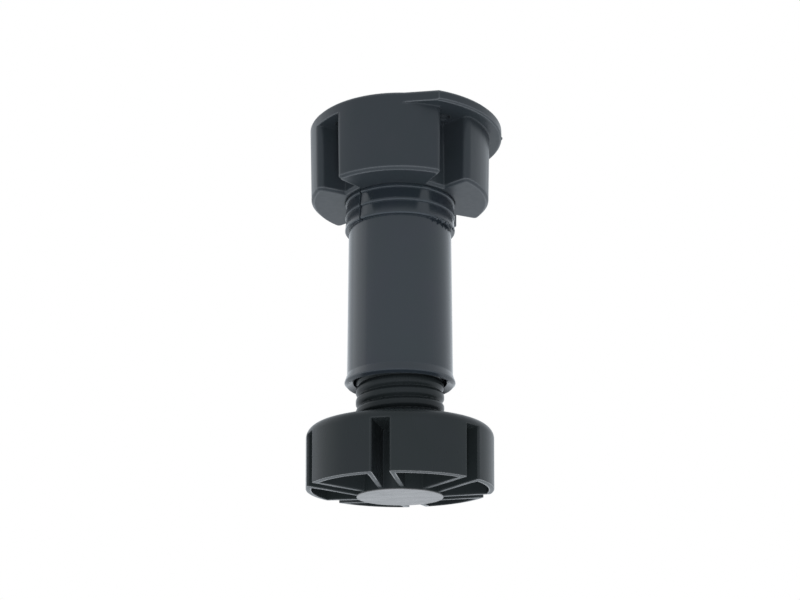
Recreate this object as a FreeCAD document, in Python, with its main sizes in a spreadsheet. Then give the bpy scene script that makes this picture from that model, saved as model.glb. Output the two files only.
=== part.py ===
import FreeCAD, Part
import Sketcher
import os

# Adjustable cabinet leg: a four-lobed mounting head, a smooth tube whose barbed plug is pushed into
# the head's socket, and a six-lobed foot on a hollow screw stem that runs in the tube.
# Axis of the leg on Z, floor at z = 0, middle of the head's flange towards +X.

doc = FreeCAD.newDocument("cabinet_leg")
sheet = doc.addObject("Spreadsheet::Sheet", "sizes")

# Driving sizes in millimetres, angles in degrees
SIZES = {
    # Screw stem and the tube round it
    "thread_radius": 12.7,
    "thread_clearance": 0.1,
    "stem_length": 41.0,
    "stem_wall": 3.3,
    "tube_wall": 2.5,
    "tube_exposed": 47.6,
    "mouth_gap": 0.85,
    "mouth_rise": 1.0,
    "mouth_depth": 5.0,
    "mouth_lead": 0.8,
    "lip_overhang": 0.7,
    "lip_land": 1.1,
    "lip_height": 3.2,
    "lip_bevel": 0.8,
    "extension": 12.5,
    # Barbed plug at the top of the tube
    "barb_overhang": 1.1,
    "barb_depth": 0.45,
    "barb_land": 0.8,
    "barb_pitch": 4.1,
    "barb_count": 5,
    "barb_bevel": 0.2,
    "slot_width": 0.6,
    "slot_count": 2,
    "plug_exposed": 9.2,
    "plug_turn": 53.0,
    "plug_clearance": 0.05,
    # Foot
    "foot_lobes": 6,
    "foot_rim_radius": 26.5,
    "foot_draft": 0.3,
    "foot_height": 19.6,
    "foot_turn": 27.0,
    "shoulder_round": 3.2,
    "rim_lift": 2.1,
    "rim_wall": 2.3,
    "web_wall": 1.3,
    "foot_roof": 2.2,
    "channel_width": 4.8,
    "channel_roof": 2.9,
    "hub_radius": 12.2,
    "hub_proud": 0.5,
    "hub_floor": 3.0,
    "foot_edge_bevel": 0.4,
    # Mounting head
    "head_lobes": 4,
    "head_height": 23.8,
    "head_draft": 0.8,
    "socket_wall": 1.55,
    "lobe_reach": 8.6,
    "lobe_wall": 2.0,
    "lobe_floor": 2.4,
    "lobe_round": 1.8,
    "lobe_bevel": 0.8,
    "plate_thickness": 3.3,
    "plate_bevel": 0.5,
    "flange_reach": 3.6,
    "flange_inset": 0.5,
    "groove_inner_width": 5.6,
    "groove_flare": 11.5,
    "screw_circle_radius": 21.6,
    "screw_hole_radius": 1.8,
}
for row, (alias, value) in enumerate(SIZES.items(), start=1):
    sheet.set(f"A{row}", alias)
    sheet.set(f"B{row}", str(value))
    sheet.setAlias(f"B{row}", alias)
doc.recompute()

# Sizes worked out from the driving ones, as expressions over the sheet
BORE_RADIUS = "(sizes.thread_radius + sizes.thread_clearance)"
MOUTH_RADIUS = "(sizes.thread_radius + sizes.mouth_gap)"
STEM_BORE = "(sizes.thread_radius - sizes.stem_wall)"
TUBE_RADIUS = f"({BORE_RADIUS} + sizes.tube_wall)"
LIP_RADIUS = f"({TUBE_RADIUS} + sizes.lip_overhang)"
BARB_RADIUS = f"({TUBE_RADIUS} + sizes.barb_overhang)"
BARB_ROOT = f"({BARB_RADIUS} - sizes.barb_depth)"
SOCKET_DEPTH = "(sizes.head_height - sizes.plate_thickness)"
TUBE_LENGTH = f"(sizes.tube_exposed + sizes.plug_exposed + {SOCKET_DEPTH})"
SOCKET_RADIUS = f"({BARB_RADIUS} + sizes.plug_clearance)"
CORE_RADIUS = f"({SOCKET_RADIUS} + sizes.socket_wall)"
HEAD_RADIUS = f"({CORE_RADIUS} + sizes.lobe_reach)"
HEAD_TOP_RADIUS = f"({HEAD_RADIUS} + sizes.head_draft)"
FLANGE_RADIUS = f"({HEAD_TOP_RADIUS} + sizes.flange_reach)"
FOOT_TOP_RADIUS = "(sizes.foot_rim_radius + sizes.foot_draft)"
TUBE_FLOOR = "(sizes.foot_height + sizes.extension)"
HEAD_FLOOR = f"({TUBE_FLOOR} + sizes.tube_exposed + sizes.plug_exposed)"

# Sketch numbers of the origin and the two axes, and of the points of an edge
V_AXIS, H_AXIS = range(-2, 0)
ORIGIN = H_AXIS
START, END, CENTRE = range(1, 4)
# How far an added feature is sunk into its base, and a cut runs past it
OVERLAP = "1"
NEAR = 1e-4


def number(expression):
    """Value of an expression over the size sheet."""
    return float(sheet.evalExpression(expression))


def origin_part(body, role):
    """Origin plane or axis of a body, by its role."""
    return next(part for part in body.Origin.OriginFeatures if part.Role == role)


def new_body(label):
    """Empty body of one moulded piece."""
    body = doc.addObject("PartDesign::Body", label)
    body.Label = label
    return body


def new_sketch(body, name, plane, height="0", turn=0.0):
    """Sketch on an origin plane of the body, raised along its normal and turned about it."""
    sketch = body.newObject("Sketcher::SketchObject", name)
    sketch.AttachmentSupport = [(origin_part(body, plane), "")]
    sketch.MapMode = "FlatFace"
    rotation = FreeCAD.Rotation(FreeCAD.Vector(0, 0, 1), turn)
    sketch.AttachmentOffset = FreeCAD.Placement(FreeCAD.Vector(0, 0, 0), rotation)
    sketch.setExpression("AttachmentOffset.Base.z", height)
    return sketch


def pin(sketch, edge, end, x, y):
    """Bind one end of a sketch edge to a place given by two expressions."""
    for kind, expression, axis in (("DistanceX", x, V_AXIS), ("DistanceY", y, H_AXIS)):
        if expression == "0":
            sketch.addConstraint(Sketcher.Constraint("PointOnObject", edge, end, axis))
            continue
        constraint = Sketcher.Constraint(kind, ORIGIN, START, edge, end, number(expression))
        index = sketch.addConstraint(constraint)
        sketch.setExpression(f"Constraints[{index}]", expression)


def bind_radius(sketch, edge, expression):
    """Centre a circle or arc on the origin and bind its radius."""
    sketch.addConstraint(Sketcher.Constraint("Coincident", edge, CENTRE, ORIGIN, START))
    index = sketch.addConstraint(Sketcher.Constraint("Radius", edge, number(expression)))
    sketch.setExpression(f"Constraints[{index}]", expression)


def draw_outline(sketch, corners):
    """Closed outline of straight sides through corners given as pairs of expressions."""
    places = [FreeCAD.Vector(number(x), number(y), 0) for x, y in corners]
    count = len(places)
    for i in range(count):
        sketch.addGeometry(Part.LineSegment(places[i], places[(i + 1) % count]))
    for i in range(count):
        sketch.addConstraint(Sketcher.Constraint("Coincident", i, END, (i + 1) % count, START))
    for i, (x, y) in enumerate(corners):
        pin(sketch, i, START, x, y)


def arc_about_origin(sketch, start, end):
    """Arc about the origin, counter-clockwise from start to end."""
    circle = Part.Circle(FreeCAD.Vector(0, 0, 0), FreeCAD.Vector(0, 0, 1), start.Length)
    first = circle.parameter(start)
    last = circle.parameter(end)
    return sketch.addGeometry(Part.ArcOfCircle(circle, first, last))


def draw_sector(sketch, inner, outer, angle, offset):
    """Sector between two radii, the same on both sides of X.

    Its upper side runs at an angle to X and passes the origin at an offset to its left.
    """
    def corner(radius):
        run = f"sqrt(({radius})^2 - ({offset})^2)"
        x = f"{run} * cos({angle}) - ({offset}) * sin({angle})"
        y = f"{run} * sin({angle}) + ({offset}) * cos({angle})"
        return x, y

    inner_x, inner_y = corner(inner)
    outer_x, outer_y = corner(outer)
    low_in = FreeCAD.Vector(number(inner_x), -number(inner_y), 0)
    low_out = FreeCAD.Vector(number(outer_x), -number(outer_y), 0)
    high_out = FreeCAD.Vector(number(outer_x), number(outer_y), 0)
    high_in = FreeCAD.Vector(number(inner_x), number(inner_y), 0)
    low_side = sketch.addGeometry(Part.LineSegment(low_in, low_out))
    outer_arc = arc_about_origin(sketch, low_out, high_out)
    high_side = sketch.addGeometry(Part.LineSegment(high_out, high_in))
    inner_arc = arc_about_origin(sketch, low_in, high_in)
    joins = (
        (low_side, END, outer_arc, START),
        (outer_arc, END, high_side, START),
        (high_side, END, inner_arc, END),
        (inner_arc, START, low_side, START),
    )
    for join in joins:
        sketch.addConstraint(Sketcher.Constraint("Coincident", *join))
    bind_radius(sketch, inner_arc, inner)
    bind_radius(sketch, outer_arc, outer)
    for edge, end, y in (
        (low_side, START, f"-({inner_y})"),
        (low_side, END, f"-({outer_y})"),
        (high_side, START, outer_y),
        (high_side, END, inner_y),
    ):
        index = sketch.addConstraint(
            Sketcher.Constraint("DistanceY", ORIGIN, START, edge, end, number(y))
        )
        sketch.setExpression(f"Constraints[{index}]", y)


def turn_profile(body, name, corners, kind="PartDesign::Revolution"):
    """Solid of revolution about Z from a profile of radius and height expressions."""
    sketch = new_sketch(body, f"{name}_profile", "XZ_Plane")
    draw_outline(sketch, corners)
    feature = body.newObject(kind, name)
    feature.Profile = sketch
    feature.ReferenceAxis = (sketch, ["V_Axis"])
    feature.Angle = 360
    doc.recompute()
    return feature


def pad(body, name, sketch, length):
    """Raise a sketch along +Z."""
    feature = body.newObject("PartDesign::Pad", name)
    feature.Profile = sketch
    feature.setExpression("Length", length)
    doc.recompute()
    return feature


def pocket(body, name, sketch, depth, upward):
    """Cut a sketch into the body, upward or downward, and make sure that it cuts."""
    before = body.Shape.Volume
    feature = body.newObject("PartDesign::Pocket", name)
    feature.Profile = sketch
    feature.setExpression("Length", depth)
    feature.Reversed = upward
    doc.recompute()
    if not body.Shape.Volume < before - NEAR:
        raise RuntimeError(f"{name} cuts nothing")
    return feature


def ring_pattern(body, name, feature, count):
    """Repeat a feature evenly round Z."""
    pattern = body.newObject("PartDesign::PolarPattern", name)
    pattern.Originals = [feature]
    pattern.Axis = (origin_part(body, "Z_Axis"), [""])
    pattern.Angle = 360
    pattern.setExpression("Occurrences", count)
    body.Tip = pattern
    doc.recompute()
    return pattern


def row_pattern(body, name, feature, pitch, count):
    """Repeat a feature along Z at a pitch."""
    pattern = body.newObject("PartDesign::LinearPattern", name)
    pattern.Originals = [feature]
    pattern.Direction = (origin_part(body, "Z_Axis"), [""])
    pattern.setExpression("Length", f"{pitch} * ({count} - 1)")
    pattern.setExpression("Occurrences", count)
    body.Tip = pattern
    doc.recompute()
    return pattern


def edges_where(body, wanted):
    """Names of the body's edges that pass a test."""
    edges = enumerate(body.Shape.Edges, start=1)
    return [f"Edge{index}" for index, edge in edges if not edge.Degenerated and wanted(edge)]


def round_edges(body, name, wanted, radius):
    """Fillet the edges that pass a test."""
    base = body.Tip
    names = edges_where(body, wanted)
    if not names:
        raise RuntimeError(f"{name} finds no edge")
    feature = body.newObject("PartDesign::Fillet", name)
    feature.Base = (base, names)
    feature.setExpression("Radius", radius)
    doc.recompute()
    return feature


def bevel_edges(body, name, wanted, size):
    """Chamfer the edges that pass a test."""
    base = body.Tip
    names = edges_where(body, wanted)
    if not names:
        raise RuntimeError(f"{name} finds no edge")
    feature = body.newObject("PartDesign::Chamfer", name)
    feature.Base = (base, names)
    feature.setExpression("Size", size)
    doc.recompute()
    return feature


def ring_at(radius, height):
    """Test for a whole circle about Z, of a radius at a height."""
    def wanted(edge):
        curve = edge.Curve
        if not isinstance(curve, Part.Circle) or len(edge.Vertexes) > 1:
            return False
        on_axis = abs(curve.Center.x) < NEAR and abs(curve.Center.y) < NEAR
        same_radius = abs(curve.Radius - number(radius)) < NEAR
        return on_axis and same_radius and abs(curve.Center.z - number(height)) < NEAR
    return wanted


def level_edge(edge, height):
    """Whether an edge lies at one height."""
    return all(abs(vertex.Z - height) < NEAR for vertex in edge.Vertexes)


def reach(vertex):
    """Distance of a vertex from the axis of the leg."""
    return (vertex.X ** 2 + vertex.Y ** 2) ** 0.5


def make_leg_tube():
    """Tube with a flared mouth below and a slotted, barbed plug above; z = 0 at its mouth."""
    body = new_body("leg_tube")
    turn_profile(body, "tube_wall", (
        (MOUTH_RADIUS, "sizes.mouth_rise"),
        (f"{LIP_RADIUS} - sizes.lip_bevel", "0"),
        (LIP_RADIUS, "sizes.lip_bevel"),
        (LIP_RADIUS, "sizes.lip_land"),
        (TUBE_RADIUS, "sizes.lip_height"),
        (TUBE_RADIUS, "sizes.tube_exposed"),
        (BARB_ROOT, "sizes.tube_exposed"),
        (BARB_ROOT, TUBE_LENGTH),
        (BORE_RADIUS, TUBE_LENGTH),
        (BORE_RADIUS, "sizes.mouth_depth + sizes.mouth_lead"),
        (MOUTH_RADIUS, "sizes.mouth_depth"),
    ))

    # Each barb is a ledge with a bevelled edge that tapers away towards the head
    sunk_root = f"{BARB_ROOT} - {OVERLAP}"
    barb = turn_profile(body, "barb", (
        (sunk_root, "sizes.tube_exposed"),
        (f"{BARB_RADIUS} - sizes.barb_bevel", "sizes.tube_exposed"),
        (BARB_RADIUS, "sizes.tube_exposed + sizes.barb_bevel"),
        (BARB_RADIUS, "sizes.tube_exposed + sizes.barb_land"),
        (BARB_ROOT, "sizes.tube_exposed + sizes.barb_pitch"),
        (sunk_root, "sizes.tube_exposed + sizes.barb_pitch"),
    ))
    row_pattern(body, "barbs", barb, "sizes.barb_pitch", "sizes.barb_count")

    # Slots let the plug spring inwards
    sketch = new_sketch(body, "slot_plan", "XY_Plane", "sizes.tube_exposed")
    draw_sector(sketch, f"{BORE_RADIUS} - {OVERLAP}", f"{BARB_RADIUS} + {OVERLAP}", "0", "sizes.slot_width / 2")
    slot = pocket(body, "slot", sketch, f"{TUBE_LENGTH} - sizes.tube_exposed + {OVERLAP}", True)
    ring_pattern(body, "slots", slot, "sizes.slot_count")

    body.setExpression("Placement.Base.z", TUBE_FLOOR)
    body.setExpression("Placement.Rotation.Angle", "sizes.plug_turn")
    return body


def make_adjusting_foot():
    """Lobed foot with a hollow screw stem, moulded as one; z = 0 at the hub that stands on the floor."""
    body = new_body("adjusting_foot")
    stem_top = "sizes.foot_height + sizes.stem_length"
    turn_profile(body, "foot_bowl", (
        ("0", "0"),
        ("sizes.hub_radius", "0"),
        ("sizes.hub_radius", "sizes.hub_proud"),
        ("sizes.foot_rim_radius", "sizes.rim_lift"),
        (FOOT_TOP_RADIUS, "sizes.foot_height"),
        ("sizes.thread_radius", "sizes.foot_height"),
        ("sizes.thread_radius", stem_top),
        (STEM_BORE, stem_top),
        (STEM_BORE, "sizes.hub_floor"),
        ("0", "sizes.hub_floor"),
    ))
    shoulder = ring_at(FOOT_TOP_RADIUS, "sizes.foot_height")
    round_edges(body, "shoulder_rounding", shoulder, "sizes.shoulder_round")

    # Each lobe is a hollow that is open below, between two grip channels
    half_turn = 180 / number("sizes.foot_lobes")
    sketch = new_sketch(body, "hollow_plan", "XY_Plane", "0", half_turn)
    draw_sector(
        sketch,
        "sizes.hub_radius",
        "sizes.foot_rim_radius - sizes.rim_wall",
        "180 / sizes.foot_lobes",
        "-(sizes.channel_width / 2 + sizes.web_wall)",
    )
    hollow = pocket(body, "hollow", sketch, "sizes.foot_height - sizes.foot_roof", True)
    ring_pattern(body, "hollows", hollow, "sizes.foot_lobes")

    # The grip channels are open to the side and below, and end at the hub
    sketch = new_sketch(body, "channel_plan", "XY_Plane")
    draw_sector(
        sketch,
        "sizes.hub_radius",
        f"{FOOT_TOP_RADIUS} + {OVERLAP}",
        "0",
        "sizes.channel_width / 2",
    )
    channel = pocket(body, "channel", sketch, "sizes.foot_height - sizes.channel_roof", True)
    ring_pattern(body, "channels", channel, "sizes.foot_lobes")

    # Upright edges beside the channels
    rim = number("sizes.foot_rim_radius")

    def beside_channel(edge):
        upright = isinstance(edge.Curve, (Part.Line, Part.Hyperbola, Part.BSplineCurve))
        heights = sorted(vertex.Z for vertex in edge.Vertexes)
        at_rim = all(reach(vertex) > rim - NEAR for vertex in edge.Vertexes)
        return upright and at_rim and heights[-1] - heights[0] > number("sizes.rim_lift")

    bevel_edges(body, "channel_bevel", beside_channel, "sizes.foot_edge_bevel")
    body.setExpression("Placement.Rotation.Angle", "sizes.foot_turn")
    return body


def make_mounting_head():
    """Four-lobed head with a flange, a socket for the plug and screw holes; z = 0 under its lobes."""
    body = new_body("mounting_head")
    turn_profile(body, "head_block", (
        ("0", "0"),
        (HEAD_RADIUS, "0"),
        (HEAD_TOP_RADIUS, "sizes.head_height"),
        ("0", "sizes.head_height"),
    ))

    # Flange on one side of the top plate, with straight sides and a round edge
    sketch = new_sketch(body, "flange_plan", "XY_Plane", SOCKET_DEPTH)
    half_width = number(f"{HEAD_TOP_RADIUS} - sizes.flange_inset")
    side = (number(FLANGE_RADIUS) ** 2 - half_width ** 2) ** 0.5
    low = FreeCAD.Vector(side, -half_width, 0)
    high = FreeCAD.Vector(side, half_width, 0)
    low_root = FreeCAD.Vector(0, -half_width, 0)
    high_root = FreeCAD.Vector(0, half_width, 0)
    low_side = sketch.addGeometry(Part.LineSegment(low_root, low))
    edge_arc = arc_about_origin(sketch, low, high)
    high_side = sketch.addGeometry(Part.LineSegment(high, high_root))
    back = sketch.addGeometry(Part.LineSegment(high_root, low_root))
    for join in (
        (low_side, END, edge_arc, START),
        (edge_arc, END, high_side, START),
        (high_side, END, back, START),
        (back, END, low_side, START),
    ):
        sketch.addConstraint(Sketcher.Constraint("Coincident", *join))
    bind_radius(sketch, edge_arc, FLANGE_RADIUS)
    pin(sketch, low_side, START, "0", f"-({HEAD_TOP_RADIUS} - sizes.flange_inset)")
    pin(sketch, high_side, END, "0", f"{HEAD_TOP_RADIUS} - sizes.flange_inset")
    sketch.addConstraint(Sketcher.Constraint("Horizontal", low_side))
    sketch.addConstraint(Sketcher.Constraint("Horizontal", high_side))
    pad(body, "flange", sketch, "sizes.plate_thickness")

    # Flared grooves between the lobes, closed above by the top plate
    half_turn = 180 / number("sizes.head_lobes")
    sketch = new_sketch(body, "groove_plan", "XY_Plane", "0", half_turn)
    groove_end = f"({FLANGE_RADIUS} + {OVERLAP})"
    inner_half = "sizes.groove_inner_width / 2"
    outer_half = f"({inner_half} + ({groove_end} - {CORE_RADIUS}) * tan(sizes.groove_flare))"
    draw_outline(sketch, (
        (CORE_RADIUS, f"-{inner_half}"),
        (groove_end, f"-{outer_half}"),
        (groove_end, outer_half),
        (CORE_RADIUS, inner_half),
    ))
    groove = pocket(body, "groove", sketch, SOCKET_DEPTH, True)
    ring_pattern(body, "grooves", groove, "sizes.head_lobes")

    # Edges of the lobes, first the upright ones and then those below
    lobe_edge = number(HEAD_RADIUS)

    def lobe_corner(edge):
        heights = sorted(vertex.Z for vertex in edge.Vertexes)
        outside = all(reach(vertex) > lobe_edge - NEAR for vertex in edge.Vertexes)
        return outside and heights[0] < NEAR < heights[-1]

    def lobe_underside(edge):
        return level_edge(edge, 0.0)

    round_edges(body, "lobe_rounding", lobe_corner, "sizes.lobe_round")
    bevel_edges(body, "lobe_bevel", lobe_underside, "sizes.lobe_bevel")

    # Socket for the plug
    sketch = new_sketch(body, "socket_plan", "XY_Plane")
    circle = Part.Circle(FreeCAD.Vector(0, 0, 0), FreeCAD.Vector(0, 0, 1), number(SOCKET_RADIUS))
    bind_radius(sketch, sketch.addGeometry(circle), SOCKET_RADIUS)
    pocket(body, "socket", sketch, SOCKET_DEPTH, True)

    # Lobes cored out from above
    wall_offset = (
        f"{CORE_RADIUS} * sin(sizes.groove_flare)"
        f" - {inner_half} * cos(sizes.groove_flare) - sizes.lobe_wall"
    )
    sketch = new_sketch(body, "core_plan", "XY_Plane", "sizes.head_height")
    draw_sector(
        sketch,
        CORE_RADIUS,
        f"{HEAD_RADIUS} - sizes.lobe_wall",
        "180 / sizes.head_lobes - sizes.groove_flare",
        wall_offset,
    )
    core = pocket(body, "core", sketch, "sizes.head_height - sizes.lobe_floor", False)
    ring_pattern(body, "cores", core, "sizes.head_lobes")

    # Screw holes over the grooves
    sketch = new_sketch(body, "screw_plan", "XY_Plane", "sizes.head_height", half_turn)
    centre = FreeCAD.Vector(number("sizes.screw_circle_radius"), 0, 0)
    hole_circle = Part.Circle(centre, FreeCAD.Vector(0, 0, 1), number("sizes.screw_hole_radius"))
    hole_edge = sketch.addGeometry(hole_circle)
    pin(sketch, hole_edge, CENTRE, "sizes.screw_circle_radius", "0")
    index = sketch.addConstraint(Sketcher.Constraint("Radius", hole_edge, hole_circle.Radius))
    sketch.setExpression(f"Constraints[{index}]", "sizes.screw_hole_radius")
    hole = pocket(body, "screw_hole", sketch, "sizes.plate_thickness", False)
    ring_pattern(body, "screw_holes", hole, "sizes.head_lobes")

    # Outer edge of the top plate, and the flange's lower edge
    plate_reach = number(f"{HEAD_TOP_RADIUS} - sizes.flange_inset")

    def plate_edge(edge):
        outside = all(reach(vertex) > plate_reach - NEAR for vertex in edge.Vertexes)
        overhangs = all(reach(vertex) > number(FLANGE_RADIUS) - NEAR for vertex in edge.Vertexes)
        upper = outside and level_edge(edge, number("sizes.head_height"))
        lower = overhangs and level_edge(edge, number(SOCKET_DEPTH))
        return upper or lower

    bevel_edges(body, "plate_bevel", plate_edge, "sizes.plate_bevel")

    body.setExpression("Placement.Base.z", HEAD_FLOOR)
    return body


def write_pieces(bodies):
    """Check the whole document, then write each piece to a file of its own name."""
    doc.recompute()
    failed = [item.Name for item in doc.Objects if {"Invalid", "Error"} & set(item.State)]
    if failed:
        raise RuntimeError(f"failed features: {failed}")
    for body in bodies:
        if body.Shape.isNull() or not body.Shape.isValid() or len(body.Shape.Solids) != 1:
            raise RuntimeError(f"{body.Label} is not one valid solid")
    os.makedirs("parts", exist_ok=True)
    for body in bodies:
        body.Shape.exportStep(f"parts/{body.Label}.step")
        box = body.Shape.BoundBox
        print(f"{body.Label}: z {box.ZMin:.2f} to {box.ZMax:.2f}, volume {body.Shape.Volume:.0f}")


write_pieces([make_leg_tube(), make_adjusting_foot(), make_mounting_head()])
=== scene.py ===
import logging
import math
from dataclasses import dataclass, replace
from enum import Enum

import bmesh
import bpy
import numpy as np
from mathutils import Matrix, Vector


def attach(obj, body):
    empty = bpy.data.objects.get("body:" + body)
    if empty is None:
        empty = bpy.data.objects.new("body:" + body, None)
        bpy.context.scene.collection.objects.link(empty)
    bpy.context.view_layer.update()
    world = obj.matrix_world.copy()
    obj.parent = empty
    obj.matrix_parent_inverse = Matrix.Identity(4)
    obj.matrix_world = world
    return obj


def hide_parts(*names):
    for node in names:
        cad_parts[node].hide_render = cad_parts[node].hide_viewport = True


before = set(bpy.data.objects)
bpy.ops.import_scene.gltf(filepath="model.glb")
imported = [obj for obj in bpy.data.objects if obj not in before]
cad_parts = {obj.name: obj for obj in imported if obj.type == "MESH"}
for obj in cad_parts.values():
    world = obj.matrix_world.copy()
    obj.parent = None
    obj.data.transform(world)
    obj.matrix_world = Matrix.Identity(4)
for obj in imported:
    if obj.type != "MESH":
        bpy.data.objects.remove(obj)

# Adjustable cabinet leg: a four-lobed mounting head, a smooth tube with a barbed plug, and a lobed
# foot on a screw stem.
# Lengths are in metres, Z runs up the leg and at rest the floor is at z = 0.

log = logging.getLogger("cabinet_leg")

Colour = tuple[float, float, float]
Point = tuple[float, float, float]
Span = tuple[float, float]
Wave = tuple[float, float, float]
FULL_TURN = 2.0 * math.pi
WHITE: Colour = (1.0, 1.0, 1.0)
JOIN_DISTANCE = 1e-7
SURFACE_CREASE = math.radians(35.0)
SOLID_CREASE = math.radians(25.0)


class Slot(Enum):
    """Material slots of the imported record."""

    HEAD = "head_plastic"
    TUBE = "tube_plastic"
    FOOT = "foot_plastic"


class Body(Enum):
    """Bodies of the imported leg."""

    HEAD = "head"
    TUBE = "tube"
    FOOT = "foot"


class NodeBoard:
    """Shader nodes of one material or world, added and wired by name."""

    def __init__(self, tree: bpy.types.NodeTree) -> None:
        """Start from an empty tree.

        Args:
            tree: Node tree that is cleared and filled.
        """
        self.tree = tree
        self.tree.nodes.clear()

    def add(self, kind: str, **values: object) -> bpy.types.Node:
        """Add one node and set its inputs.

        Args:
            kind: Blender's name of the node type.
            **values: Inputs by name with underscores for spaces; a socket is linked, another value
                is set.

        Returns:
            The new node.
        """
        node = self.tree.nodes.new(kind)
        for key, value in values.items():
            socket = node.inputs[key.replace("_", " ")]
            if isinstance(value, bpy.types.NodeSocket):
                self.tree.links.new(value, socket)
            else:
                socket.default_value = value
        return node

    def math(self, operation: str, first: object, second: object) -> bpy.types.NodeSocket:
        """Combine two numbers.

        Args:
            operation: Name of the Math node's operation.
            first: Socket or number.
            second: Socket or number.

        Returns:
            Socket of the result.
        """
        node = self.tree.nodes.new("ShaderNodeMath")
        node.operation = operation
        for socket, value in zip(node.inputs, (first, second)):
            if isinstance(value, bpy.types.NodeSocket):
                self.tree.links.new(value, socket)
            else:
                socket.default_value = value
        return node.outputs[0]

    def noise(
        self, coordinates: bpy.types.NodeSocket, size: float, detail: float
    ) -> bpy.types.NodeSocket:
        """Smooth random clouds.

        Args:
            coordinates: Socket with the place on the piece.
            size: Width of a cloud in metres.
            detail: Octaves of finer clouds.

        Returns:
            Socket that runs from 0 to 1.
        """
        node = self.add("ShaderNodeTexNoise", Vector=coordinates, Scale=1.0 / size, Detail=detail)
        return node.outputs["Fac"]

    def stretch(
        self, value: bpy.types.NodeSocket, low: float, high: float, start: float, end: float
    ) -> bpy.types.NodeSocket:
        """Map a range of a number onto another, held at both ends.

        Args:
            value: Socket of the number.
            low: Number that gives start.
            high: Number that gives end.
            start: Result at low.
            end: Result at high.

        Returns:
            Socket of the mapped number.
        """
        node = self.tree.nodes.new("ShaderNodeMapRange")
        self.tree.links.new(value, node.inputs["Value"])
        for name, number in (("From Min", low), ("From Max", high), ("To Min", start), ("To Max", end)):
            node.inputs[name].default_value = number
        return node.outputs["Result"]

    def blend(self, factor: bpy.types.NodeSocket, first: object, second: object) -> bpy.types.NodeSocket:
        """Mix two colours.

        Args:
            factor: Socket of the second colour's share.
            first: Colour socket or linear RGB.
            second: Colour socket or linear RGB.

        Returns:
            Socket of the mixed colour.
        """
        node = self.tree.nodes.new("ShaderNodeMix")
        node.data_type = "RGBA"
        self.tree.links.new(factor, node.inputs["Factor"])
        for socket, value in zip((node.inputs[6], node.inputs[7]), (first, second)):
            if isinstance(value, bpy.types.NodeSocket):
                self.tree.links.new(value, socket)
            else:
                socket.default_value = (*value, 1.0)
        return node.outputs[2]


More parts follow.
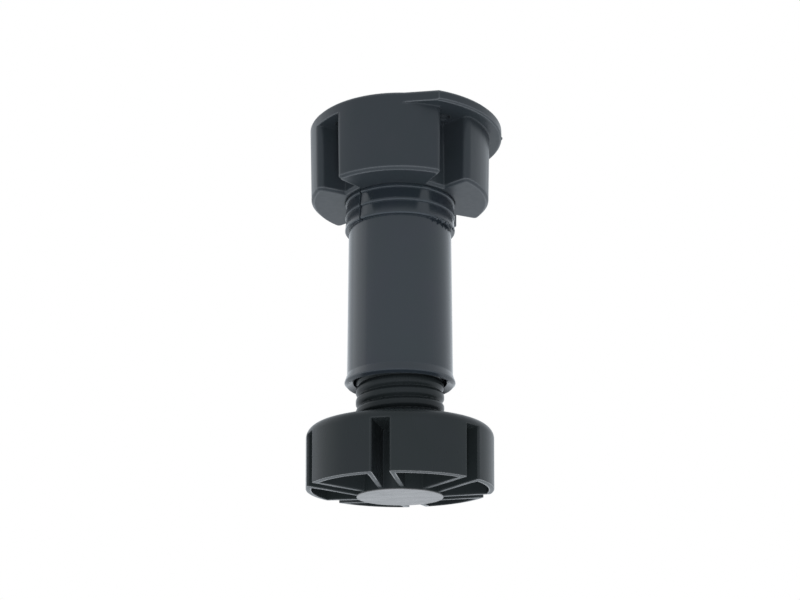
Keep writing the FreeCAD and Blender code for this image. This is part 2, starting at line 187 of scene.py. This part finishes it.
@dataclass(frozen=True)
class MouldedPlastic:
    """Dark injection-moulded plastic with a fine grain, clouded colour and a painted highlight along its
    edges.

    Sizes are in metres. The bands are the ranges of a noise, a likeness, an openness or a slope over
    which a look fades in.

    Attributes:
        name: Name of the material.
        colour: Base colour.
        cloud_colour: Colour that the base drifts to in clouds.
        edge_highlight_colour: Colour of the painted highlight along the edges.
        specular: Level of the plastic's own reflection.
        roughness: Middle of its roughness.
        roughness_spread: How far the flow streaks change the roughness.
        cloud_size: Width of a cloud.
        streak_size: Width of a flow streak.
        scratch_size: Width of a scratch.
        grain_size: Width of a grain of the bump.
        grain_depth: Height of the bump.
        edge_radius: Width of the rounded edges and of their painted highlight.
        corner_reach: How near other faces keep an edge from the painted highlight.
        side_highlight: Share of the painted highlight on edges that don't face down, or that lie high.
        highlight_height: Height up to which edges that face down get the full painted highlight.
        skin: Weight of a clear, glossier skin.
        skin_roughness: Roughness of the skin.
        scuff_sheen_height: Height up to which the underside carries scuffs and a painted reflection, or 0
            for none.
        scuff_sheen_colour: Colour of the scuffs and of the painted reflection on the standing face.
        cloud_band: Noise over which the clouds fade in.
        streak_band: Noise over which streaks and scratches fade in.
        edge_band: Likeness of the rounded and the true normal over which the painted highlight fades in.
        open_band: Openness over which the painted highlight fades in.
        slope_band: Height of the normal over which the painted highlight falls to its side share.
        draw_squeeze: Scale along the draw of the mould that makes noise into streaks.
        scratch_squeeze: Scale along the scratches that makes noise into scratches.
        scratch_share: Share of the scuffs and painted reflection between the scratches.
        bump_strength: Strength of the bump.
        soft_octaves: Octaves of the clouds and the grain.
        fine_octaves: Octaves of the streaks and the scratches.
        probes: Samples of the edge and corner tests.
    """

    name: str
    colour: Colour
    cloud_colour: Colour
    edge_highlight_colour: Colour
    specular: float
    roughness: float
    roughness_spread: float
    cloud_size: float = 0.012
    streak_size: float = 0.0016
    scratch_size: float = 0.0035
    grain_size: float = 0.00035
    grain_depth: float = 0.00001
    edge_radius: float = 0.0005
    corner_reach: float = 0.0015
    side_highlight: float = 1.0
    highlight_height: float = 1.0
    skin: float = 0.0
    skin_roughness: float = 0.18
    scuff_sheen_height: float = 0.0
    scuff_sheen_colour: Colour = (0.0, 0.0, 0.0)
    cloud_band: Span = (0.35, 0.65)
    streak_band: Span = (0.3, 0.7)
    edge_band: Span = (0.995, 0.92)
    open_band: Span = (0.75, 0.95)
    slope_band: Span = (-0.8, -0.2)
    draw_squeeze: float = 0.15
    scratch_squeeze: float = 0.3
    scratch_share: float = 0.62
    bump_strength: float = 0.5
    soft_octaves: float = 2.0
    fine_octaves: float = 3.0
    probes: int = 6

    def material(self) -> bpy.types.Material:
        """Make the node material.

        Returns:
            The new material.
        """
        material = bpy.data.materials.new(self.name)
        material.use_nodes = True
        board = NodeBoard(material.node_tree)
        place = board.add("ShaderNodeTexCoord").outputs["Object"]

        # Broad clouds in the colour
        clouds = board.noise(place, self.cloud_size, self.soft_octaves)
        clouds = board.stretch(clouds, *self.cloud_band, 0.0, 1.0)
        base = board.blend(clouds, self.colour, self.cloud_colour)
        # Painted reflection on the face that stands on the floor, with scuffs in it
        if self.scuff_sheen_height > 0.0:
            base = self.scuffs_and_sheen(board, place, base)

        # Painted highlight: edges are lighter where a rounded normal leaves the true one, but not in the
        # corners
        rounded = board.add("ShaderNodeBevel", Radius=self.edge_radius)
        rounded.samples = self.probes
        true_normal = board.add("ShaderNodeNewGeometry").outputs["Normal"]
        likeness = board.tree.nodes.new("ShaderNodeVectorMath")
        likeness.operation = "DOT_PRODUCT"
        board.tree.links.new(rounded.outputs["Normal"], likeness.inputs[0])
        board.tree.links.new(true_normal, likeness.inputs[1])
        edges = board.stretch(likeness.outputs["Value"], *self.edge_band, 0.0, 1.0)
        open_air = board.add("ShaderNodeAmbientOcclusion", Distance=self.corner_reach)
        open_air.samples = self.probes
        openness = board.stretch(open_air.outputs["AO"], *self.open_band, 0.0, 1.0)
        edges = board.math("MULTIPLY", edges, openness)
        if self.side_highlight < 1.0:
            # The painted highlight stays mostly on edges that face down, near the floor
            slope = board.add("ShaderNodeSeparateXYZ", Vector=true_normal).outputs["Z"]
            height = board.add("ShaderNodeSeparateXYZ", Vector=place).outputs["Z"]
            below = board.stretch(slope, *self.slope_band, 1.0, self.side_highlight)
            fade_end = 2.0 * self.highlight_height
            low_down = board.stretch(height, self.highlight_height, fade_end, 1.0, self.side_highlight)
            edges = board.math("MULTIPLY", edges, board.math("MINIMUM", below, low_down))
        base = board.blend(edges, base, self.edge_highlight_colour)

        # Gloss varies in fine flow streaks along the draw of the mould
        streak_map = board.add("ShaderNodeMapping", Vector=place, Scale=(1.0, 1.0, self.draw_squeeze))
        streaks = board.noise(streak_map.outputs["Vector"], self.streak_size, self.fine_octaves)
        low = self.roughness - self.roughness_spread
        high = self.roughness + self.roughness_spread
        roughness = board.stretch(streaks, *self.streak_band, low, high)

        # The grain of the mould as a fine bump
        bump = board.add(
            "ShaderNodeBump",
            Strength=self.bump_strength,
            Distance=self.grain_depth,
            Height=board.noise(place, self.grain_size, self.soft_octaves),
            Normal=rounded.outputs["Normal"],
        )
        shader = board.add(
            "ShaderNodeBsdfPrincipled", Base_Color=base, Roughness=roughness, Normal=bump.outputs["Normal"]
        )
        shader.inputs["Specular IOR Level"].default_value = self.specular
        shader.inputs["Coat Weight"].default_value = self.skin
        shader.inputs["Coat Roughness"].default_value = self.skin_roughness
        output = board.add("ShaderNodeOutputMaterial", Surface=shader.outputs["BSDF"])
        output.is_active_output = True
        return material

    def scuffs_and_sheen(
        self, board: NodeBoard, place: bpy.types.NodeSocket, base: bpy.types.NodeSocket
    ) -> bpy.types.NodeSocket:
        """Lighten the face that stands on the floor with a painted reflection, broken by fine scratches of
        scuffing.

        Args:
            board: Board that the nodes go on.
            place: Socket with the place on the piece.
            base: Socket of the colour so far.

        Returns:
            Socket of the scuffed colour.
        """
        height = board.add("ShaderNodeSeparateXYZ", Vector=place).outputs["Z"]
        low = board.stretch(height, 0.0, self.scuff_sheen_height, 1.0, 0.0)
        scratch_map = board.add("ShaderNodeMapping", Vector=place, Scale=(self.scratch_squeeze, 1.0, 1.0))
        scratches = board.noise(scratch_map.outputs["Vector"], self.scratch_size, self.fine_octaves)
        scratches = board.stretch(scratches, *self.streak_band, self.scratch_share, 1.0)
        share = board.math("MULTIPLY", low, scratches)
        return board.blend(share, base, self.scuff_sheen_colour)


HEAD_FINISH = MouldedPlastic(
    name="head_black_plastic",
    colour=(0.0145, 0.0176, 0.0215),
    cloud_colour=(0.0130, 0.0170, 0.0200),
    # Painted highlight along the edges
    edge_highlight_colour=(0.072, 0.078, 0.086),
    edge_radius=0.0008,
    corner_reach=0.006,
    specular=0.28,
    roughness=0.34,
    roughness_spread=0.03,
)
TUBE_FINISH = MouldedPlastic(
    name="tube_slate_plastic",
    colour=(0.0116, 0.0148, 0.0198),
    cloud_colour=(0.0108, 0.0154, 0.0188),
    # Painted highlight along the edges
    edge_highlight_colour=(0.034, 0.042, 0.051),
    specular=0.13,
    roughness=0.24,
    roughness_spread=0.03,
    skin=0.6,
)
FOOT_FINISH = MouldedPlastic(
    name="foot_black_plastic",
    colour=(0.0105, 0.0128, 0.0142),
    cloud_colour=(0.0097, 0.0125, 0.0132),
    # Painted highlight along the edges, kept mostly to the low edges that face down
    edge_highlight_colour=(0.165, 0.171, 0.179),
    edge_radius=0.0006,
    side_highlight=0.08,
    highlight_height=0.006,
    specular=0.18,
    roughness=0.29,
    roughness_spread=0.03,
    # Painted reflection on the face that stands on the floor, with scuffs in it
    scuff_sheen_height=0.0003,
    scuff_sheen_colour=(0.118, 0.119, 0.123),
)
THREAD_FINISH = replace(FOOT_FINISH, name="thread_black_plastic", edge_radius=0.0001, scuff_sheen_height=0.0)


def join_doubles(mesh: bpy.types.Mesh) -> None:
    """Make vertices that lie in one place, to the join distance, into one.

    Args:
        mesh: Mesh that is changed.
    """
    work = bmesh.new()
    work.from_mesh(mesh)
    bmesh.ops.remove_doubles(work, verts=work.verts, dist=JOIN_DISTANCE)
    work.to_mesh(mesh)
    work.free()
    mesh.update()


def surface_mesh(
    name: str, points: np.ndarray, wrap_rows: bool, wrap_columns: bool, crease: float = SURFACE_CREASE
) -> bpy.types.Mesh:
    """Mesh of a surface sampled on a grid.

    A quad joins each grid point to its neighbours in the next row and the next column; a wrapped
    direction also joins its last line of points to its first. A line of points that lies in one
    place becomes a pole.

    Args:
        name: Name of the mesh.
        points: Array of shape (rows, columns, 3), with rows x columns pointing out of the surface.
        wrap_rows: Whether the rows close on themselves.
        wrap_columns: Whether the columns close on themselves.
        crease: Angle from which an edge shows sharp.

    Returns:
        The new mesh, smooth but for its creases.
    """
    rows, columns = points.shape[:2]
    row, column = np.meshgrid(
        np.arange(rows if wrap_rows else rows - 1),
        np.arange(columns if wrap_columns else columns - 1),
        indexing="ij",
    )
    next_row = (row + 1) % rows
    next_column = (column + 1) % columns
    corners = (
        row * columns + column,
        next_row * columns + column,
        next_row * columns + next_column,
        row * columns + next_column,
    )
    quads = np.stack(corners, axis=-1).reshape(-1, 4)
    mesh = bpy.data.meshes.new(name)
    mesh.vertices.add(rows * columns)
    mesh.vertices.foreach_set("co", points.astype(np.float32).ravel())
    mesh.loops.add(quads.size)
    mesh.loops.foreach_set("vertex_index", quads.astype(np.int32).ravel())
    mesh.polygons.add(len(quads))
    mesh.polygons.foreach_set("loop_start", np.arange(0, quads.size, 4, dtype=np.int32))
    mesh.update(calc_edges=True)
    join_doubles(mesh)
    mesh.shade_smooth()
    mesh.set_sharp_from_angle(angle=crease)
    return mesh


def merged_copy(name: str, node: bpy.types.Object) -> bpy.types.Mesh:
    """Copy of a CAD node's mesh with its loose triangles joined where they meet.

    Vertices at the same place, to the join distance, become one, and triangles that shrink to
    nothing are dropped.

    Args:
        name: Name of the new mesh.
        node: Object of the CAD node.

    Returns:
        The joined mesh, smooth but for its sharp edges.
    """
    source = node.data
    source.calc_loop_triangles()
    places = np.empty(len(source.vertices) * 3, np.float32)
    source.vertices.foreach_get("co", places)
    corners = np.empty(len(source.loop_triangles) * 3, np.int32)
    source.loop_triangles.foreach_get("vertices", corners)
    keys = np.round(places.reshape(-1, 3).astype(np.float64) / JOIN_DISTANCE).astype(np.int64)
    _, first, shared = np.unique(keys, axis=0, return_index=True, return_inverse=True)
    triangles = shared.reshape(-1)[corners].reshape(-1, 3)
    whole = (
        (triangles[:, 0] != triangles[:, 1])
        & (triangles[:, 1] != triangles[:, 2])
        & (triangles[:, 2] != triangles[:, 0])
    )
    mesh = bpy.data.meshes.new(name)
    mesh.from_pydata(places.reshape(-1, 3)[first].tolist(), [], triangles[whole].tolist())
    mesh.update(calc_edges=True)
    mesh.shade_smooth()
    mesh.set_sharp_from_angle(angle=SOLID_CREASE)
    return mesh


def place_piece(
    mesh: bpy.types.Mesh, body: Body, material: bpy.types.Material
) -> bpy.types.Object:
    """Put a finished mesh into the scene as a piece of the leg.

    Args:
        mesh: Mesh with its place in its vertices.
        body: Body that the piece rides on.
        material: Finish of the piece.

    Returns:
        The new object.
    """
    piece = bpy.data.objects.new(mesh.name, mesh)
    bpy.context.scene.collection.objects.link(piece)
    mesh.materials.clear()
    mesh.materials.append(material)
    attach(piece, body.value)
    log.info("%s: %d faces on the %s", piece.name, len(mesh.polygons), body.value)
    return piece


def dress_node(name: str, material: bpy.types.Material) -> None:
    """Give a CAD node its finish.

    Args:
        name: Name of the node.
        material: Finish of the node.
    """
    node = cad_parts[name]
    node.data.materials.clear()
    node.data.materials.append(material)
    log.info("%s: %d faces kept from the solid", name, len(node.data.polygons))


@dataclass
class MountingHead:
    """Four-lobed head with a flange, and the stub of the gate that fed its mould."""

    flange_radius: float = 0.0310
    rim_height: float = 0.1112
    gate_angle: float = math.radians(10.5)
    gate_radius: float = 0.0006
    gate_reach: float = 0.0005
    gate_sink: float = 0.0006
    gate_flatness: float = 0.8
    gate_bend: float = 0.0002
    gate_rows: int = 17
    gate_columns: int = 24
    gate_wavers: tuple[Wave, ...] = ((0.12, 3.0, 0.0), (0.08, 5.0, 1.0))

    def gate_stub(self) -> bpy.types.Mesh:
        """Broken-off gate on the flange's rim.

        An egg about a radial line, half sunk into the rim: its radius is a half sine of the way from
        end to end, times one plus the wavers, each a share, a whole number of waves round the line and
        a shift. Its tip bends up with the square of the swing out.

        Returns:
            The closed mesh.
        """
        way = np.linspace(0.0, 1.0, self.gate_rows)[:, None]
        turn = np.linspace(0.0, FULL_TURN, self.gate_columns, endpoint=False)[None, :]
        waver = 1.0 + sum(share * np.sin(waves * turn + shift) for share, waves, shift in self.gate_wavers)
        radius = self.gate_radius * np.sin(math.pi * way) * waver
        swing = (1.0 - np.cos(math.pi * way)) / 2.0
        length = self.gate_sink + self.gate_reach
        reach = self.flange_radius - self.gate_sink + length * swing + np.zeros_like(turn)
        across = radius * np.cos(turn)
        height = self.rim_height + self.gate_flatness * radius * np.sin(turn) + self.gate_bend * swing**2
        cos, sin = math.cos(self.gate_angle), math.sin(self.gate_angle)
        points = np.stack((reach * cos - across * sin, reach * sin + across * cos, height), axis=-1)
        return surface_mesh("gate_stub", points[:, ::-1], False, True)

    def build(self) -> None:
        """Dress the head and add the gate's stub."""
        material = HEAD_FINISH.material()
        dress_node("mounting_head", material)
        place_piece(self.gate_stub(), Body.HEAD, material)


@dataclass
class LegTube:
    """Smooth tube with its barbed plug, and the ragged flash that its mould left under the plug."""

    ledge_height: float = 0.0797
    flash_radius: float = 0.01625
    flash_start: float = math.radians(-52.0)
    flash_end: float = math.radians(6.0)
    flash_drop: float = 0.0016
    flash_half_width: float = 0.00038
    flash_seat: float = 0.0003
    flash_run_out: float = 0.6
    flash_mean: float = 0.55
    flash_waves: tuple[Wave, ...] = ((0.2, 41.0, 0.0), (0.15, 97.0, 1.0), (0.1, 173.0, 0.0))
    flash_rows: int = 161
    flash_columns: int = 12

    def moulding_flash(self) -> bpy.types.Mesh:
        """Ragged fin of plastic under the lowest ledge.

        An oval section carried round the ledge. Its half height is a power of a half sine of the way
        along, so that both ends run out to nothing, times a ragged number: a mean plus sines, each a
        share, a rate along the way and a shift, whose waves don't fit into one another. Its half width
        follows the root of that height.

        Returns:
            The closed mesh.
        """
        way = np.linspace(0.0, 1.0, self.flash_rows)[:, None]
        turn = np.linspace(0.0, FULL_TURN, self.flash_columns, endpoint=False)[None, :]
        waves = sum(share * np.sin(rate * way + shift) for share, rate, shift in self.flash_waves)
        swell = np.sin(math.pi * way) ** self.flash_run_out * (self.flash_mean + waves)
        angle = self.flash_start + (self.flash_end - self.flash_start) * way
        radius = self.flash_radius + self.flash_half_width * np.sqrt(swell) * np.cos(turn)
        drop = 0.5 * self.flash_drop * swell * (1.0 - np.sin(turn))
        height = self.ledge_height + self.flash_seat - drop
        points = np.stack((radius * np.cos(angle), radius * np.sin(angle), height), axis=-1)
        return surface_mesh("moulding_flash", points, False, True)

    def build(self) -> None:
        """Dress the tube and add its flash."""
        material = TUBE_FINISH.material()
        dress_node("leg_tube", material)
        place_piece(self.moulding_flash(), Body.TUBE, material)


@dataclass
class AdjustingFoot:
    """Lobed foot whose stem carries a coarse round screw thread."""

    crest_radius: float = 0.0127
    root_radius: float = 0.01195
    sleeve_radius: float = 0.0112
    foot_height: float = 0.0196
    hollow_radius: float = 0.0242
    hollow_growth: float = 0.0008
    stem_top: float = 0.0606
    pitch: float = 0.0032
    phase: float = 0.15
    lead: float = 0.0016
    valley_half: float = 0.4
    thread_sink: float = 0.0004
    thread_end: float = 0.0001
    thread_crease: float = math.radians(60.0)
    stem_overlap: float = 0.0001
    wall_tolerance: float = 1e-5
    roof_room: float = 0.001
    columns: int = 128
    rows: int = 420

    def thread_radius(self, turn: np.ndarray, height: np.ndarray) -> np.ndarray:
        """Radius of the threaded stem at each place.

        The place within one pitch is the height less the helix's own rise over the turn. The valley
        is a V in the middle of the pitch whose sides rise to the crest as a quarter sine wave, so that
        they run out into it smoothly. The ridge sinks to the root over the lead at the top.

        Args:
            turn: Angle about Z.
            height: Height above the floor.

        Returns:
            Radius of the surface.
        """
        place = (height - self.foot_height) / self.pitch - turn / FULL_TURN + self.phase
        from_valley = np.clip(np.abs(place % 1.0 - 0.5) / self.valley_half, 0.0, 1.0)
        ridge = np.sin(FULL_TURN / 4.0 * from_valley)
        lead_in = np.clip((self.stem_top - height) / self.lead, 0.0, 1.0)
        return self.root_radius + (self.crest_radius - self.root_radius) * ridge * lead_in

    def thread(self) -> bpy.types.Mesh:
        """Threaded sleeve over the stem.

        A section of the sleeve's wall, up the threaded outside and down the plain inside, carried
        round Z and closed on itself both ways.

        Returns:
            The mesh.
        """
        turn = np.linspace(0.0, FULL_TURN, self.columns, endpoint=False)[:, None]
        bottom = self.foot_height - self.thread_sink
        top = self.stem_top - self.thread_end
        height = np.linspace(bottom, top, self.rows)[None, :]
        outside = self.thread_radius(turn, height)
        inside = np.full((self.columns, 2), self.sleeve_radius)
        radius = np.concatenate((outside, inside), axis=1)
        rise = np.concatenate((height[0], height[0, [-1, 0]]))[None, :] + np.zeros_like(turn)
        points = np.stack((radius * np.cos(turn), radius * np.sin(turn), rise), axis=-1)
        return surface_mesh("screw_thread", points, True, True, self.thread_crease)

    def bowl(self) -> bpy.types.Mesh:
        """Foot with its stem drawn in under the thread and its rim thinned from inside.

        Every vertex of the stem's outer wall moves straight towards the axis, to the stem's overlap
        outside the sleeve's inner wall, so that the two join. Every vertex of the hollows' outer walls
        moves straight away from the axis by the hollows' growth.

        Returns:
            The mesh.
        """
        mesh = merged_copy("foot_bowl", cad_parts["adjusting_foot"])
        places = np.empty(len(mesh.vertices) * 3, np.float32)
        mesh.vertices.foreach_get("co", places)
        places = places.reshape(-1, 3)
        reach = np.hypot(places[:, 0], places[:, 1])
        rise = places[:, 2]
        on_stem = np.abs(reach - self.crest_radius) < self.wall_tolerance
        on_stem &= rise > self.foot_height - self.wall_tolerance
        places[on_stem, :2] *= (self.sleeve_radius + self.stem_overlap) / self.crest_radius
        in_hollow = np.abs(reach - self.hollow_radius) < self.wall_tolerance
        in_hollow &= rise < self.foot_height - self.roof_room
        places[in_hollow, :2] *= 1.0 + self.hollow_growth / self.hollow_radius
        mesh.vertices.foreach_set("co", places.ravel())
        mesh.update()
        return mesh

    def build(self) -> None:
        """Replace the plain foot by its bowl and its threaded stem."""
        for mesh, finish in ((self.bowl(), FOOT_FINISH), (self.thread(), THREAD_FINISH)):
            piece = place_piece(mesh, Body.FOOT, finish.material())
            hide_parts("adjusting_foot")


@dataclass(frozen=True)
class Softbox:
    """Soft square lamp, which shows in the gloss only where it is meant to."""

    name: str
    place: Point
    width: float
    power: float
    in_gloss: bool = False

    def build(self, aim: Point) -> None:
        """Hang the lamp and turn it to its aim.

        Args:
            aim: Place that the lamp shines at.
        """
        data = bpy.data.lights.new(self.name, "AREA")
        data.shape = "SQUARE"
        data.size = self.width
        data.energy = self.power
        lamp = bpy.data.objects.new(self.name, data)
        lamp.visible_glossy = self.in_gloss
        lamp.location = self.place
        direction = Vector(aim) - Vector(self.place)
        lamp.rotation_euler = direction.to_track_quat("-Z", "Y").to_euler()
        bpy.context.scene.collection.objects.link(lamp)


@dataclass
class Studio:
    """White surroundings, a pale floor and the camera below the leg, looking up at it."""

    camera_distance: float = 0.39107
    camera_height: float = -0.07454
    camera_azimuth: float = math.radians(8.5)
    camera_pitch: float = math.radians(18.8)
    lens: float = 63.17
    sensor_width: float = 36.0
    clip: Span = (0.01, 50.0)
    surroundings: float = 0.6
    cool_white: Colour = (0.93, 1.0, 1.07)
    floor_width: float = 6.0
    floor_level: float = -0.0001
    floor_colour: Colour = (0.86, 0.86, 0.86)
    floor_shade: float = 0.97
    floor_cloud: float = 0.4
    floor_octaves: float = 2.0
    fade_start: float = 0.3
    aim: Point = (0.0, 0.0, 0.06)

    def camera(self) -> None:
        """Set the camera at the photograph's place and angle."""
        data = bpy.data.cameras.new("camera")
        data.sensor_width = self.sensor_width
        data.lens = self.lens
        data.clip_start, data.clip_end = self.clip
        camera = bpy.data.objects.new("camera", data)
        side, depth = math.sin(self.camera_azimuth), math.cos(self.camera_azimuth)
        across, back = self.camera_distance * side, self.camera_distance * depth
        camera.location = (across, -back, self.camera_height)
        level = math.cos(self.camera_pitch)
        direction = Vector((-side * level, depth * level, math.sin(self.camera_pitch)))
        camera.rotation_euler = direction.to_track_quat("-Z", "Y").to_euler()
        bpy.context.scene.collection.objects.link(camera)
        bpy.context.scene.camera = camera

    def world(self) -> None:
        """White surroundings, at full strength to the camera and in gloss, that light the leg coolly."""
        world = bpy.data.worlds.new("studio")
        world.use_nodes = True
        bpy.context.scene.world = world
        board = NodeBoard(world.node_tree)
        path = board.add("ShaderNodeLightPath").outputs
        seen = board.math("MAXIMUM", path["Is Camera Ray"], path["Is Glossy Ray"])
        seen = board.math("MAXIMUM", seen, path["Is Transmission Ray"])
        strength = board.stretch(seen, 0.0, 1.0, self.surroundings, 1.0)
        colour = board.blend(path["Is Camera Ray"], self.cool_white, WHITE)
        background = board.add("ShaderNodeBackground", Color=colour, Strength=strength)
        board.add("ShaderNodeOutputWorld", Surface=background.outputs["Background"])

    def floor(self) -> None:
        """Pale floor under the foot, which it goes with, that fades out and is clear from below."""
        half = self.floor_width / 2.0
        side = np.linspace(-half, half, 3)
        x, y = np.meshgrid(side, side, indexing="ij")
        points = np.stack((x, y, np.full_like(x, self.floor_level)), axis=-1)
        mesh = surface_mesh("floor", points, False, False)
        material = bpy.data.materials.new("pale_floor")
        material.use_nodes = True
        board = NodeBoard(material.node_tree)
        seen = board.add("ShaderNodeLightPath").outputs["Is Camera Ray"]
        behind = board.add("ShaderNodeNewGeometry").outputs["Backfacing"]
        share = board.math("MULTIPLY", seen, board.math("SUBTRACT", 1.0, behind))
        place = board.add("ShaderNodeTexCoord").outputs["Object"]
        distance = board.tree.nodes.new("ShaderNodeVectorMath")
        distance.operation = "LENGTH"
        board.tree.links.new(place, distance.inputs[0])
        fade = board.stretch(distance.outputs["Value"], self.fade_start * half, half, 1.0, 0.0)
        share = board.math("MULTIPLY", share, fade)
        clouds = board.noise(place, self.floor_cloud, self.floor_octaves)
        shaded = tuple(self.floor_shade * channel for channel in self.floor_colour)
        colour = board.blend(clouds, shaded, self.floor_colour)
        paint = board.add("ShaderNodeBsdfDiffuse", Color=colour)
        clear = board.add("ShaderNodeBsdfTransparent")
        mixed = board.tree.nodes.new("ShaderNodeMixShader")
        board.tree.links.new(share, mixed.inputs[0])
        board.tree.links.new(clear.outputs[0], mixed.inputs[1])
        board.tree.links.new(paint.outputs[0], mixed.inputs[2])
        board.add("ShaderNodeOutputMaterial", Surface=mixed.outputs[0])
        mesh.materials.append(material)
        floor = bpy.data.objects.new("floor", mesh)
        bpy.context.scene.collection.objects.link(floor)
        # The head is the fixed body, so the floor moves to stay under the foot
        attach(floor, Body.FOOT.value)

    def lamps(self) -> None:
        """Hang the soft lamps."""
        for lamp in (
            Softbox("left_softbox", place=(-1.2, 0.1, 0.5), width=1.0, power=1.2, in_gloss=True),
            Softbox("front_softbox", place=(0.086, -0.56, -0.22), width=0.2, power=3.35),
            Softbox("under_softbox", place=(0.0, -0.05, -0.5), width=1.0, power=7.5),
            Softbox("top_softbox", place=(0.1, 0.1, 0.8), width=1.0, power=2.4),
        ):
            lamp.build(self.aim)

    def build(self) -> None:
        """Set up the whole studio."""
        bpy.context.scene.view_settings.view_transform = "Standard"
        self.camera()
        self.world()
        self.floor()
        self.lamps()


def main() -> None:
    """Build the leg in order and set it in its studio."""
    logging.basicConfig(level=logging.INFO, format="%(name)s: %(message)s")
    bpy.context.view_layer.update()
    for assembly in (MountingHead(), LegTube(), AdjustingFoot(), Studio()):
        assembly.build()


if __name__ == "__main__":
    main()
